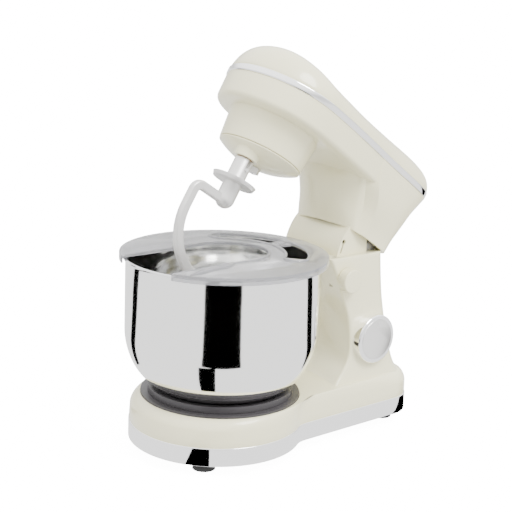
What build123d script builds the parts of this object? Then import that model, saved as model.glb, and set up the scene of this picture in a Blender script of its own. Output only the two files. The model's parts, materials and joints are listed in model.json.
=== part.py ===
"""Tilt-head stand mixer, with its head up and a dough hook fitted. Millimetres, +Z up.

The bowl's axis is the reference of every size. It stands behind the frame's origin, which is under
the middle of the whole object. Whatever the head carries is drawn on the head's own planes, with
the heights that it has when the head is down.
"""
from build123d import *
from math import cos, degrees, radians, sin, sqrt, tan
import os

os.makedirs("parts", exist_ok=True)

# ---- driving dimensions ----
bowl_y = -85.8  # the bowl's axis, from the middle of the object
wall = 3.0  # moulded shells
fit_gap = 0.3  # between pieces that move past each other
running_gap = 0.05  # radial, shafts in bushes

# head hinge
tilt = 32.2  # degrees, head up
hinge_back = 178.0  # behind the bowl's axis
hinge_height = 188.0
pin_r = 4.0
hub_wall_r = 7.5
ear_half = 42.0  # middle of the hinge ears
ear_thick = 6.0
arm_half = 35.5  # middle of the head's hinge arms
arm_thick = 6.0

# base
foot_height = 9.0
trim_bottom = 10.0
trim_top = 30.0
lobe_r = 91.5  # round part under the bowl
lobe_y = -6.0
lobe_top = 58.0
lobe_round = 16.0
base_half = 71.5  # straight part under the column
base_back = 236.0
corner_r = 36.0
waist_r = 30.0
trim_proud = 0.8
floor_thick = 2.5

# column: height, front, back, half width
column_levels = [
    (trim_top, 98.0, 230.0, 66.0),
    (60.0, 114.0, 216.0, 61.0),
    (100.0, 134.0, 203.0, 56.0),
    (150.0, 127.0, 194.0, 52.5),
    (198.0, 107.0, 190.0, 51.0),
]
column_corner = 11.0
column_top = 198.0
bowl_clear_r = 112.5  # the column's front is hollowed round the bowl

# neck inside the head's skirt
neck_half = 42.0
neck_r = 56.0  # its front is round about the hinge, so the skirt swings past it
neck_back = 168.0
neck_top = 230.0
neck_wall = 2.5

# head
belt_bottom = 252.0
band_bottom = 280.0
band_top = 287.0
# crown: height, share of the plan
crown_levels = [(287.0, 1.0), (305.0, 0.96), (320.0, 0.86), (330.0, 0.69), (335.0, 0.42)]
crown_y = 80.0  # where the plan draws in to
# the crown's top line along its middle: distance back, height
crown_line = [
    (-90.0, 337.0), (-45.0, 335.0), (-20.0, 323.0), (5.0, 312.5), (35.0, 310.0), (110.0, 311.0), (240.0, 315.0),
]
nose_r = 70.0
nose_y = 2.0
tail_y = 228.0
tail_half = 52.0
tail_corner = 30.0
shoulder_y = 120.0
shoulder_half = 60.0
band_proud = 0.7
skirt_levels = [
    (201.0, 117.0, 195.0, 51.0),
    (225.0, 111.0, 206.0, 52.5),
    (belt_bottom + 4, 90.0, 222.0, 56.0),
]
skirt_corner = 16.0
housing_r = 46.5  # round housing over the bowl, at its mouth
housing_top_r = 50.5
housing_bottom = 218.0

# planetary drive
tool_r = 26.0  # tool axis from the main axis
tool_angle = -67.4  # degrees from +X, seen from above
ring_teeth = 52
pinion_teeth = 12
planet_module = 1.3
gear_bottom = 221.0
gear_height = 9.0
main_teeth = 60
lay_teeth = 15
main_module = 1.5
main_gear_z = 263.0
main_gear_height = 7.0
shaft_r = 5.0
tool_shaft_r = 6.0
lay_shaft_r = 4.0
carrier_r = 46.0
carrier_bottom = 203.0
carrier_top = housing_bottom - 1.0
boss_r = 13.5
boss_bottom = 202.5

# motor and belt
motor_y = 150.0
stator_r = 31.0
stator_bottom = 238.0
stator_height = 34.0
motor_pulley_r = 9.0
lay_pulley_r = 32.0
pulley_z = 287.0
pulley_height = 10.0
belt_thick = 1.6

# dough hook, in the plane through the tool axis
hub_r = 10.0
hub_top = 201.0
hub_bottom = 156.0
collar_r = 24.0
collar_z = 177.0
arm_out = 42.0  # from the tool axis to the middle of the upright bar
arm_z = 154.0
bar_high = 10.0
bar_wide = 8.0
pin_cross_r = 2.0
cross_z = 191.0

# bowl and splash guard
bowl_r = 102.5
bowl_wall = 1.0
bowl_bottom = 64.5
bowl_rim_z = 206.5
rim_flange = 3.5
ring_r = 77.0
ring_bottom = 60.3
guard_r = 109.0
guard_z = 207.2
guard_thick = 2.6
guard_skirt = 5.0
slot_half = 42.0
slot_back = 5.0  # centre of the slot's round end

# knobs on the column's right side
speed_y = 168.0
speed_z = 103.0
speed_r = 27.5
speed_depth = 13.0
release_y = 128.0
release_z = 174.0
release_r = 13.0
release_depth = 12.0
spindle_r = 3.0
latch_travel = 6.0

screw_r = 2.0
gland_r = 5.0
cord_z = 39.5

# ---- reference planes ----
base = Plane((0, bowl_y, 0))
base_side = Plane(base.origin, x_dir=(0, 1, 0), z_dir=(1, 0, 0))
hinge_place = Location((0, bowl_y + hinge_back, hinge_height), (-tilt, 0, 0))
head = Plane(hinge_place * Location((0, -hinge_back, -hinge_height)))
head_side = Plane(head.origin, x_dir=head.y_dir, z_dir=head.x_dir)
tool_x = tool_r * cos(radians(tool_angle))
tool_y = tool_r * sin(radians(tool_angle))


# ---- shared shapes ----
def level_loft(plane, levels, inset, corner):
    """A tall body through rounded rectangles, each given by height, front, back and half width."""
    with BuildPart() as body:
        for height, front, back, half in levels:
            with BuildSketch(plane.offset(height)):
                with Locations((0, (front + back) / 2)):
                    RectangleRounded(2 * (half - inset), back - front - 2 * inset, corner - inset)
        loft()
    return body.part


def base_outline(inset=0):
    """The base's plan: a round lobe under the bowl and a straight part under the column."""
    with BuildSketch() as outline:
        with Locations((0, lobe_y)):
            Circle(lobe_r - inset)
        with Locations((0, (lobe_y + base_back) / 2)):
            length = base_back - lobe_y
            RectangleRounded(2 * (base_half - inset), length - 2 * inset, corner_r - inset)
        waist = outline.vertices().filter_by_position(Axis.Y, lobe_y + 10, lobe_y + lobe_r)
        fillet(waist, waist_r + inset)
    return outline.sketch


def head_outline(inset=0):
    """The head's plan at the band: a round nose that narrows to a blunt tail."""
    nose = nose_r - inset
    with BuildSketch() as outline:
        with BuildLine():
            right = Spline(
                (nose, nose_y),
                (shoulder_half - inset, shoulder_y),
                (tail_half - inset, tail_y - tail_corner),
                tangents=((0, 1), (-0.15, 1)),
            )
            left = Spline(
                (-(tail_half - inset), tail_y - tail_corner),
                (-(shoulder_half - inset), shoulder_y),
                (-nose, nose_y),
                tangents=((-0.15, -1), (0, -1)),
            )
            ThreePointArc(left @ 1, (0, nose_y - nose), right @ 0)
            Spline(right @ 1, (0, tail_y - inset), left @ 0, tangents=((-0.15, 1), (-0.15, -1)))
        make_face()
    return outline.sketch


def gear_outline(teeth, module, above, below, share, first):
    """A toothed outline; above and below are tooth height from the pitch circle, in modules."""
    pitch_r = teeth * module / 2
    half = share * 90 / teeth
    slope = degrees(tan(radians(20)) / pitch_r)
    top = (pitch_r + above * module, half - slope * above * module)
    root = (pitch_r - below * module, half + slope * below * module)
    corners = []
    for tooth in range(teeth):
        middle = first + tooth * 360 / teeth
        for radius, turn in ((root[0], -root[1]), (top[0], -top[1]), (top[0], top[1]), (root[0], root[1])):
            at = radians(middle + turn)
            corners.append((radius * cos(at), radius * sin(at)))
    with BuildSketch() as outline:
        with BuildLine():
            Polyline(*corners, close=True)
        make_face()
    return outline.sketch


def tube(plane, outer, inner, height, x=0, y=0):
    """A plain ring standing on a plane, such as a bush or a bearing."""
    with BuildPart() as ring:
        with BuildSketch(plane):
            with Locations((x, y)):
                Circle(outer)
                Circle(inner, mode=Mode.SUBTRACT)
        extrude(amount=height)
    return ring.part


# ==== base ====
column_outer = level_loft(base, column_levels, 0, column_corner)
column_inner = level_loft(base, column_levels, wall, column_corner)

with BuildPart() as base_shell:
    with BuildSketch(base.offset(trim_top)):
        add(base_outline())
    extrude(amount=lobe_top - trim_top)
    fillet(base_shell.edges().group_by(Axis.Z)[-1], lobe_round)
    add(column_outer)
    with BuildSketch(base.offset(lobe_top + 0.5)):
        Circle(bowl_clear_r)
    extrude(amount=column_top, mode=Mode.SUBTRACT)
    # seat recess for the bowl's bayonet
    seat_r = ring_r + 8
    seat_floor = lobe_top - 8
    with BuildSketch(base.offset(seat_floor)):
        Circle(seat_r)
    extrude(amount=lobe_top, mode=Mode.SUBTRACT)
with BuildPart() as base_hollow:
    with BuildSketch(base.offset(trim_top - 1)):
        add(base_outline(wall))
    extrude(amount=lobe_top - wall - trim_top + 1)
    fillet(base_hollow.edges().group_by(Axis.Z)[-1], lobe_round - wall)
    with BuildSketch(base.offset(seat_floor - wall)):
        Circle(seat_r + wall)
    extrude(amount=lobe_top, mode=Mode.SUBTRACT)
with BuildPart() as column_hollow:
    add(column_inner)
    with BuildSketch(base.offset(lobe_top + 0.5 - wall)):
        Circle(bowl_clear_r + wall)
    extrude(amount=column_top, mode=Mode.SUBTRACT)
speed_place = Plane((0, bowl_y + speed_y, speed_z), x_dir=(0, 1, 0), z_dir=(1, 0, 0))
cord_place = Plane((0, bowl_y + base_back, cord_z), x_dir=(1, 0, 0), z_dir=(0, -1, 0))
release_place = Plane((0, bowl_y + release_y, release_z), x_dir=(0, 1, 0), z_dir=(1, 0, 0))
panel_x = 53.5  # the flat dial pad and the release pad on the right side
release_x = 52.4
with BuildPart() as pads:
    with BuildSketch(speed_place.offset(panel_x - 6)):
        Circle(speed_r + 1.5)
    extrude(amount=6)
    with BuildSketch(release_place.offset(release_x - 3)):
        Circle(release_r + 1)
    extrude(amount=3.4)
with BuildPart() as spindle_holes:
    with BuildSketch(speed_place.offset(panel_x - 15)):
        Circle(spindle_r + running_gap)
    extrude(amount=30)
    with BuildSketch(release_place.offset(release_x - 15)):
        Circle(spindle_r + running_gap)
    extrude(amount=30)
with BuildPart() as base_body:
    add(base_shell.part)
    add(base_hollow.part, mode=Mode.SUBTRACT)
    add(column_hollow.part, mode=Mode.SUBTRACT)
    add(pads.part)
    with BuildSketch(speed_place.offset(panel_x)):
        Circle(speed_r + 10)
    extrude(amount=30, mode=Mode.SUBTRACT)
    add(spindle_holes.part, mode=Mode.SUBTRACT)
    with BuildSketch(cord_place.offset(-10)):
        Circle(gland_r)
    extrude(amount=30, mode=Mode.SUBTRACT)
base_body.part.label = "base_shell"
export_step(base_body.part, "parts/base_shell.step")

with BuildPart() as base_trim:
    with BuildSketch(base.offset(trim_bottom)):
        add(base_outline(-trim_proud))
        add(base_outline(trim_proud), mode=Mode.SUBTRACT)
    extrude(amount=trim_top - trim_bottom)
base_trim.part.label = "base_trim"
export_step(base_trim.part, "parts/base_trim.step")

foot_places = [(side * across, along) for across, along in ((48.0, -58.0), (46.0, 204.0)) for side in (-1, 1)]
foot_r = 12.0
with BuildPart() as bottom_tray:
    with BuildSketch(base.offset(trim_bottom)):
        add(base_outline(trim_proud + fit_gap))
    extrude(amount=trim_top - trim_bottom)
    with BuildSketch(base.offset(trim_bottom + floor_thick)):
        add(base_outline(trim_proud + fit_gap + floor_thick))
    extrude(amount=trim_top, mode=Mode.SUBTRACT)
    with BuildSketch(base.offset(trim_bottom)):
        with Locations(*foot_places):
            Circle(foot_r - 4)
    extrude(amount=14)
    with BuildSketch(base.offset(trim_bottom)):
        with Locations(*foot_places):
            Circle(screw_r)
    extrude(amount=14, mode=Mode.SUBTRACT)
bottom_tray.part.label = "bottom_tray"
export_step(bottom_tray.part, "parts/bottom_tray.step")

with BuildPart() as suction_feet:
    with BuildSketch(base):
        with Locations(*foot_places):
            Circle(foot_r)
    extrude(amount=trim_bottom, taper=8)
    with BuildSketch(base):
        with Locations(*foot_places):
            Circle(screw_r + 3)
    extrude(amount=4, mode=Mode.SUBTRACT)
    with BuildSketch(base):
        with Locations(*foot_places):
            Circle(screw_r)
    extrude(amount=trim_bottom, mode=Mode.SUBTRACT)
suction_feet.part.label = "suction_feet"
export_step(suction_feet.part, "parts/suction_feet.step")

with BuildPart() as foot_screws:
    with BuildSketch(base.offset(1.5)):
        with Locations(*foot_places):
            Circle(screw_r + 2)
    extrude(amount=2.5)
    with BuildSketch(base.offset(1.5)):
        with Locations(*foot_places):
            Circle(screw_r)
    extrude(amount=18)
foot_screws.part.label = "foot_screws"
export_step(foot_screws.part, "parts/foot_screws.step")

# bowl seat: a ring in the lobe with tabs that hold the bowl's lugs down
seat_top = ring_bottom - fit_gap
tab_inner = 69.2
lug_outer = 73.0
pocket_r = 74.0
tab_thick = 1.4
lug_height = 2.2
catch_angles = [30, 150, 270]
with BuildPart() as bowl_seat:
    with BuildSketch(base.offset(seat_floor)):
        Circle(seat_r - fit_gap)
    extrude(amount=seat_top - seat_floor)
    with BuildSketch(base.offset(seat_top - 6)):
        Circle(pocket_r)
    extrude(amount=6, mode=Mode.SUBTRACT)
    for angle in catch_angles:
        with BuildSketch(base.offset(seat_top - tab_thick)):
            with BuildLine():
                CenterArc((0, 0), pocket_r + 1, angle - 12, 24)
                CenterArc((0, 0), tab_inner, angle - 12, 24)
                for end in (angle - 12, angle + 12):
                    turn = radians(end)
                    Line(
                        (tab_inner * cos(turn), tab_inner * sin(turn)),
                        ((pocket_r + 1) * cos(turn), (pocket_r + 1) * sin(turn)),
                    )
            make_face()
        extrude(amount=tab_thick)
bowl_seat.part.label = "bowl_seat"
export_step(bowl_seat.part, "parts/bowl_seat.step")

with BuildPart() as seat_screws:
    with BuildSketch(base.offset(seat_top - 6)):
        with PolarLocations(55, 4, start_angle=45):
            Circle(screw_r + 1.8)
    extrude(amount=2)
seat_screws.part.label = "seat_screws"
export_step(seat_screws.part, "parts/seat_screws.step")

with BuildPart() as cord_gland:
    with BuildSketch(cord_place.offset(-4)):
        Circle(gland_r + 2)
    extrude(amount=4)
    with BuildSketch(cord_place.offset(-4)):
        Circle(gland_r)
    extrude(amount=14)
    with BuildSketch(cord_place.offset(-4)):
        Circle(3.4)
    extrude(amount=14, mode=Mode.SUBTRACT)
cord_gland.part.label = "cord_gland"
export_step(cord_gland.part, "parts/cord_gland.step")

# neck: closes the column's top, stands up inside the head's skirt and carries the hinge ears
guide_thick = 5.0
with BuildPart() as neck_plug:
    add(level_loft(base, column_levels, wall + fit_gap, column_corner))
    with BuildSketch(base.offset(lobe_top)):
        Circle(bowl_clear_r + wall + fit_gap)
    extrude(amount=column_top, mode=Mode.SUBTRACT)
    split(bisect_by=base.offset(column_top - guide_thick), keep=Keep.TOP)
hood_back = neck_back - 10.0  # where the neck's roof ends, clear of the hinge arms
with BuildPart() as neck_guide:
    add(neck_plug.part)
    for inset, mode in ((0, Mode.ADD), (neck_wall, Mode.SUBTRACT)):
        with BuildSketch(base_side.offset(inset - neck_half)) as drum:
            with Locations((hinge_back, hinge_height)):
                Circle(neck_r - inset)
            neck_long, neck_high = neck_back - hinge_back + neck_r, neck_top - inset - hinge_height
            with Locations((neck_back - neck_long / 2, hinge_height)):
                Rectangle(neck_long, 2 * neck_high, mode=Mode.INTERSECT)
            floor_z = column_top - guide_thick
            with Locations((hinge_back, floor_z - neck_r)):
                Rectangle(2 * neck_r, 2 * neck_r, mode=Mode.SUBTRACT)
        extrude(amount=2 * (neck_half - inset), mode=mode)
    # open behind the roof, where the head's hinge arms swing
    with BuildSketch(base.offset(column_top)):
        with Locations((0, hood_back + neck_r)):
            Rectangle(2 * (neck_half - neck_wall), 2 * neck_r)
    extrude(amount=neck_top, mode=Mode.SUBTRACT)
    with BuildSketch(base.offset(column_top - guide_thick)):
        with Locations((0, hinge_back)):
            Rectangle(2 * (neck_half - neck_wall), 40)
    extrude(amount=neck_top, mode=Mode.SUBTRACT)
    for side in (-1, 1):
        with BuildSketch(base_side.offset(side * ear_half - ear_thick / 2)):
            with Locations((hinge_back, hinge_height)):
                Circle(hub_wall_r)
            with Locations((hinge_back, (hinge_height + column_top) / 2 - 0.5)):
                Rectangle(2 * hub_wall_r, column_top - hinge_height - 1)
        extrude(amount=ear_thick)
    with BuildSketch(base_side.offset(-ear_half - ear_thick)):
        with Locations((hinge_back, hinge_height)):
            Circle(pin_r + 2)
    extrude(amount=2 * (ear_half + ear_thick), mode=Mode.SUBTRACT)
    # keyhole slot for the catch in the right wall
    slot_foot, slot_head = (128.0, 201.0), (132.5, 213.0)
    with BuildSketch(base_side.offset(20)):
        with BuildLine():
            Line(slot_foot, slot_head)
        trace(line_width=2.0)
        with Locations(slot_head):
            Circle(2.6)
    extrude(amount=neck_half, mode=Mode.SUBTRACT)
neck_guide.part.label = "neck_guide"
export_step(neck_guide.part, "parts/neck_guide.step")

with BuildPart() as hinge_bushes:
    for side in (-1, 1):
        with BuildSketch(base_side.offset(side * ear_half - ear_thick / 2)):
            with Locations((hinge_back, hinge_height)):
                Circle(pin_r + 2)
                Circle(pin_r + running_gap, mode=Mode.SUBTRACT)
        extrude(amount=ear_thick)
hinge_bushes.part.label = "hinge_bushes"
export_step(hinge_bushes.part, "parts/hinge_bushes.step")

with BuildPart() as control_board:
    board_x = -40.0
    with BuildSketch(base_side.offset(board_x)):
        with Locations((165, 100)):
            Rectangle(46, 70)
    extrude(amount=1.6)
    with BuildSketch(base_side.offset(board_x + 1.6)):
        with Locations((155, 80)):
            Rectangle(16, 20)
        with Locations((175, 84), (175, 116)):
            Circle(7)
        with Locations((155, 116)):
            Rectangle(14, 26)
    extrude(amount=14)
control_board.part.label = "control_board"
export_step(control_board.part, "parts/control_board.step")

# ==== speed control on the right side ====
switch_depth = 16.0
switch_back = panel_x - 8.0 - switch_depth
with BuildPart() as speed_switch:
    with BuildSketch(speed_place.offset(switch_back)):
        RectangleRounded(30, 34, 3)
    extrude(amount=switch_depth)
    with BuildSketch(speed_place.offset(switch_back + 4)):
        Circle(spindle_r + running_gap)
    extrude(amount=switch_depth, mode=Mode.SUBTRACT)
speed_switch.part.label = "speed_switch"
export_step(speed_switch.part, "parts/speed_switch.step")

with BuildPart() as speed_spindle:
    with BuildSketch(speed_place.offset(switch_back + 5)):
        Circle(spindle_r)
    extrude(amount=panel_x + speed_depth - 6 - switch_back - 5)
speed_spindle.part.label = "speed_spindle"
export_step(speed_spindle.part, "parts/speed_spindle.step")

face_recess = 1.5
with BuildPart() as speed_knob:
    with BuildSketch(speed_place.offset(panel_x + fit_gap)):
        Circle(speed_r)
    extrude(amount=speed_depth)
    chamfer(speed_knob.edges().group_by(Axis.X)[-1], 1.2)
    with BuildSketch(speed_place.offset(panel_x + fit_gap + speed_depth - face_recess)):
        Circle(speed_r - 5)
    extrude(amount=face_recess, mode=Mode.SUBTRACT)
    with BuildSketch(speed_place.offset(panel_x)):
        Circle(spindle_r)
    extrude(amount=speed_depth - 6, mode=Mode.SUBTRACT)
speed_knob.part.label = "speed_knob"
export_step(speed_knob.part, "parts/speed_knob.step")

with BuildPart() as knob_face:
    with BuildSketch(speed_place.offset(panel_x + fit_gap + speed_depth - face_recess)):
        Circle(speed_r - 5)
    extrude(amount=face_recess + 0.4)
    with BuildSketch(speed_place.offset(panel_x + fit_gap + speed_depth + 0.4)):
        with Locations((0, speed_r - 10)):
            Rectangle(1.6, 7)
    extrude(amount=-0.3, mode=Mode.SUBTRACT)
knob_face.part.label = "knob_face"
export_step(knob_face.part, "parts/knob_face.step")

# ==== head release: knob, spindle with a cam arm, latch bolt in its guide, spring ====
with BuildPart() as release_knob:
    with BuildSketch(release_place.offset(release_x + 0.4 + fit_gap)):
        Circle(release_r)
    extrude(amount=release_depth)
    fillet(release_knob.edges().group_by(Axis.X)[-1], 1.5)
    with BuildSketch(release_place.offset(release_x)):
        Circle(spindle_r)
    extrude(amount=release_depth - 3, mode=Mode.SUBTRACT)
release_knob.part.label = "release_knob"
export_step(release_knob.part, "parts/release_knob.step")

spindle_back = 30.0
with BuildPart() as release_spindle:
    with BuildSketch(release_place.offset(spindle_back)):
        Circle(spindle_r)
    extrude(amount=release_x + release_depth - 3 - spindle_back)
    with BuildSketch(release_place.offset(spindle_back)):
        Circle(spindle_r + 2.5)
        with Locations((0, -6)):
            Rectangle(5, 12)
    extrude(amount=5)
release_spindle.part.label = "release_spindle"
export_step(release_spindle.part, "parts/release_spindle.step")

bolt_place = Plane((0, bowl_y + release_y + 8, release_z), x_dir=(1, 0, 0), z_dir=(0, 1, 0))
bolt_wide, bolt_high, bolt_long = 10.0, 8.0, 28.0
bolt_x = 18.0
with BuildPart() as latch_bolt:
    with BuildSketch(bolt_place.offset(10)):
        with Locations((bolt_x, 0)):
            Rectangle(bolt_wide, bolt_high)
    extrude(amount=bolt_long)
    chamfer(latch_bolt.edges().group_by(Axis.Y)[-1].filter_by(Axis.X), 3)
latch_bolt.part.label = "latch_bolt"
export_step(latch_bolt.part, "parts/latch_bolt.step")

guide_wall = 2.0
with BuildPart() as latch_guide:
    with BuildSketch(bolt_place.offset(0)):
        with Locations((bolt_x, 0)):
            Rectangle(bolt_wide + 2 * guide_wall, bolt_high + 2 * guide_wall)
    extrude(amount=32)
    with BuildSketch(bolt_place.offset(guide_wall)):
        with Locations((bolt_x, 0)):
            Rectangle(bolt_wide + 2 * fit_gap, bolt_high + 2 * fit_gap)
    extrude(amount=40, mode=Mode.SUBTRACT)
latch_guide.part.label = "latch_guide"
export_step(latch_guide.part, "parts/latch_guide.step")

with BuildPart() as latch_spring:
    coil_r, wire_r = 2.6, 0.4
    coil = Helix(1.8, 7.2, coil_r, center=(bolt_x, bowl_y + release_y + 10.4, release_z), direction=(0, 1, 0))
    with BuildSketch(Plane(coil @ 0, z_dir=coil % 0)):
        Circle(wire_r)
    sweep(path=coil)
latch_spring.part.label = "latch_spring"
export_step(latch_spring.part, "parts/latch_spring.step")

# ==== head shells ====
def crown(inset, levels):
    """The domed top of the head: the plan drawn in level by level."""
    with BuildPart() as body:
        for height, share in levels:
            plan = scale(head_outline(inset), by=share, mode=Mode.PRIVATE)
            with BuildSketch(head.offset(height)):
                with Locations((0, crown_y * (1 - share))):
                    add(plan)
        loft()
    return body.part


crown_inner_levels = [crown_levels[0]] + [(height - wall, share) for height, share in crown_levels[1:]]
crown_outer = crown(0, crown_levels)
crown_inner = crown(wall, crown_inner_levels)
with BuildPart() as head_top_shell:
    for shape, lowered, mode in ((crown_outer, 0, Mode.ADD), (crown_inner, wall, Mode.SUBTRACT)):
        with BuildPart(mode=Mode.PRIVATE) as under_line:
            with BuildSketch(head_side.offset(-nose_r)):
                with BuildLine():
                    ridge = Spline(*[(along, height - lowered) for along, height in crown_line])
                    Polyline(ridge @ 1, (tail_y + 12, band_top), (crown_line[0][0], band_top), ridge @ 0)
                make_face()
            extrude(amount=2 * nose_r)
            add(shape, mode=Mode.INTERSECT)
        add(under_line.part, mode=mode)
head_top_shell.part.label = "head_top_shell"
export_step(head_top_shell.part, "parts/head_top_shell.step")

with BuildPart() as head_band:
    with BuildSketch(head.offset(band_bottom)):
        add(head_outline(-band_proud))
        add(head_outline(wall), mode=Mode.SUBTRACT)
    extrude(amount=band_top - band_bottom)
head_band.part.label = "head_band"
export_step(head_band.part, "parts/head_band.step")

skirt_outer = level_loft(head, skirt_levels, 0, skirt_corner)
skirt_inner = level_loft(head, skirt_levels, wall, skirt_corner)
with BuildPart() as head_lower_outer:
    with BuildSketch(head.offset(belt_bottom)):
        add(head_outline(0))
    extrude(amount=band_bottom - belt_bottom)
    fillet(head_lower_outer.faces().sort_by(Axis(head.origin, head.z_dir))[0].edges(), 7)
    add(skirt_outer)
    with BuildSketch(head.offset(housing_bottom)):
        Circle(housing_r)
    with BuildSketch(head.offset(belt_bottom + wall)):
        Circle(housing_top_r)
    loft()
with BuildPart() as head_lower_inner:
    with BuildSketch(head.offset(belt_bottom + wall)):
        add(head_outline(wall))
    extrude(amount=band_bottom - belt_bottom)
    add(skirt_inner)
    with BuildSketch(head.offset(housing_bottom)):
        Circle(housing_r - wall)
    with BuildSketch(head.offset(belt_bottom + wall)):
        Circle(housing_top_r - wall)
    loft()
lay_y = (main_teeth + lay_teeth) * main_module / 2
lay_bush_top = main_gear_z - 2
with BuildPart() as head_lower_shell:
    add(head_lower_outer.part)
    add(head_lower_inner.part, mode=Mode.SUBTRACT)
    with BuildSketch(head.offset(belt_bottom + 1)):
        with Locations((0, lay_y)):
            Circle(lay_shaft_r + 6)
    extrude(amount=lay_bush_top - belt_bottom - 1)
    with BuildSketch(head.offset(belt_bottom + 2)):
        with Locations((0, lay_y)):
            Circle(lay_shaft_r + 3)
    extrude(amount=20, mode=Mode.SUBTRACT)
head_lower_shell.part.label = "head_lower_shell"
export_step(head_lower_shell.part, "parts/head_lower_shell.step")

# ==== gearbox and hinge, carried by the head ====
plate_z = 274.0
plate_thick = 6.0
bearing_outer, bearing_thick = 13.0, 8.0
small_bearing_outer, small_bearing_thick = 11.0, 6.0
arm_front, arm_back = hinge_back - 14, hinge_back
with BuildPart() as gearbox_plate:
    with BuildSketch(head.offset(plate_z)):
        with Locations((0, (arm_back - 30) / 2)):
            RectangleRounded(2 * (arm_half + arm_thick / 2), arm_back + 30, 10)
        with Locations((0, motor_y)):
            Circle(stator_r + 1.5, mode=Mode.SUBTRACT)
        Circle(bearing_outer, mode=Mode.SUBTRACT)
        with Locations((0, lay_y)):
            Circle(small_bearing_outer, mode=Mode.SUBTRACT)
    extrude(amount=plate_thick)
gearbox_plate.part.label = "gearbox_plate"
export_step(gearbox_plate.part, "parts/gearbox_plate.step")

with BuildPart() as hinge_arms:
    for side in (-1, 1):
        with BuildSketch(head_side.offset(side * arm_half - arm_thick / 2)):
            with Locations((hinge_back, hinge_height)):
                Circle(hub_wall_r)
            with Locations(((arm_front + arm_back) / 2, (hinge_height + plate_z) / 2)):
                Rectangle(arm_back - arm_front, plate_z - hinge_height)
            with Locations((hinge_back, hinge_height)):
                Circle(pin_r, mode=Mode.SUBTRACT)
        extrude(amount=arm_thick)
hinge_arms.part.label = "hinge_arms"
export_step(hinge_arms.part, "parts/hinge_arms.step")

with BuildPart() as hinge_pin:
    with BuildSketch(head_side.offset(-ear_half - ear_thick / 2)):
        with Locations((hinge_back, hinge_height)):
            Circle(pin_r)
    extrude(amount=2 * ear_half + ear_thick)
hinge_pin.part.label = "hinge_pin"
export_step(hinge_pin.part, "parts/hinge_pin.step")

web_z = 233.0
web_r = housing_r - wall + 0.3
with BuildPart() as bearing_web:
    with BuildSketch(head.offset(web_z)):
        Circle(web_r)
        Circle(bearing_outer, mode=Mode.SUBTRACT)
    extrude(amount=bearing_thick)
bearing_web.part.label = "bearing_web"
export_step(bearing_web.part, "parts/bearing_web.step")

main_bearings = BuildPart()
with main_bearings:
    add(tube(head.offset(web_z), bearing_outer, shaft_r, bearing_thick))
    add(tube(head.offset(plate_z), bearing_outer, shaft_r, plate_thick))
main_bearings.part.label = "main_bearings"
export_step(main_bearings.part, "parts/main_bearings.step")

with BuildPart() as lay_bearings:
    add(tube(head.offset(plate_z), small_bearing_outer, lay_shaft_r + running_gap, plate_thick, 0, lay_y))
    add(tube(head.offset(belt_bottom + 2), lay_shaft_r + 3, lay_shaft_r + running_gap, 7, 0, lay_y))
lay_bearings.part.label = "lay_bearings"
export_step(lay_bearings.part, "parts/lay_bearings.step")

ring_outer_r = 42.6
with BuildPart() as ring_gear:
    with BuildSketch(head.offset(gear_bottom)):
        Circle(ring_outer_r)
        add(gear_outline(ring_teeth, planet_module, 1.1, 0.8, 1.12, tool_angle), mode=Mode.SUBTRACT)
    extrude(amount=gear_height)
ring_gear.part.label = "ring_gear"
export_step(ring_gear.part, "parts/ring_gear.step")

# ==== planetary body ====
dome_top = carrier_top - 1
dome_deep = dome_top - carrier_bottom
dome_r = (carrier_r**2 + dome_deep**2) / (2 * dome_deep)
with BuildPart() as planet_carrier:
    with BuildSketch(head_side):
        with BuildLine():
            middle = carrier_r / 2
            lift = dome_r - sqrt(dome_r**2 - middle**2)
            ThreePointArc((0, carrier_bottom), (middle, carrier_bottom + lift), (carrier_r, dome_top))
            Polyline((carrier_r, dome_top), (carrier_r, carrier_top), (0, carrier_top), (0, carrier_bottom))
        make_face()
    revolve(axis=Axis(head.origin, head.z_dir))
    with BuildSketch(head.offset(boss_bottom)):
        with Locations((tool_x, tool_y)):
            Circle(boss_r)
    extrude(amount=carrier_top - boss_bottom)
    with BuildSketch(head.offset(boss_bottom - 5)):
        Circle(shaft_r)
        with Locations((tool_x, tool_y)):
            Circle(tool_shaft_r + 3)
    extrude(amount=30, mode=Mode.SUBTRACT)
planet_carrier.part.label = "planet_carrier"
export_step(planet_carrier.part, "parts/planet_carrier.step")

with BuildPart() as tool_bush:
    bush_long = carrier_top - boss_bottom
    add(tube(head.offset(boss_bottom), tool_shaft_r + 3, tool_shaft_r + running_gap, bush_long, tool_x, tool_y))
tool_bush.part.label = "tool_bush"
export_step(tool_bush.part, "parts/tool_bush.step")

main_shaft_top = plate_z + plate_thick + 2
with BuildPart() as main_shaft:
    with BuildSketch(head.offset(carrier_bottom - 4)):
        Circle(shaft_r)
    extrude(amount=main_shaft_top - carrier_bottom + 4)
main_shaft.part.label = "main_shaft"
export_step(main_shaft.part, "parts/main_shaft.step")

with BuildPart() as centre_nut:
    with BuildSketch(head.offset(carrier_bottom - 5.5)):
        RegularPolygon(8, 6)
    extrude(amount=5.5)
    with BuildSketch(head.offset(carrier_bottom - 4)):
        Circle(shaft_r)
    extrude(amount=4, mode=Mode.SUBTRACT)
centre_nut.part.label = "centre_nut"
export_step(centre_nut.part, "parts/centre_nut.step")

with BuildPart() as main_gear:
    with BuildSketch(head.offset(main_gear_z)):
        add(gear_outline(main_teeth, main_module, 0.8, 1.1, 0.88, 90))
        Circle(shaft_r, mode=Mode.SUBTRACT)
        with PolarLocations(28, 6):
            Circle(9, mode=Mode.SUBTRACT)
    extrude(amount=main_gear_height)
main_gear.part.label = "main_gear"
export_step(main_gear.part, "parts/main_gear.step")

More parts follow.
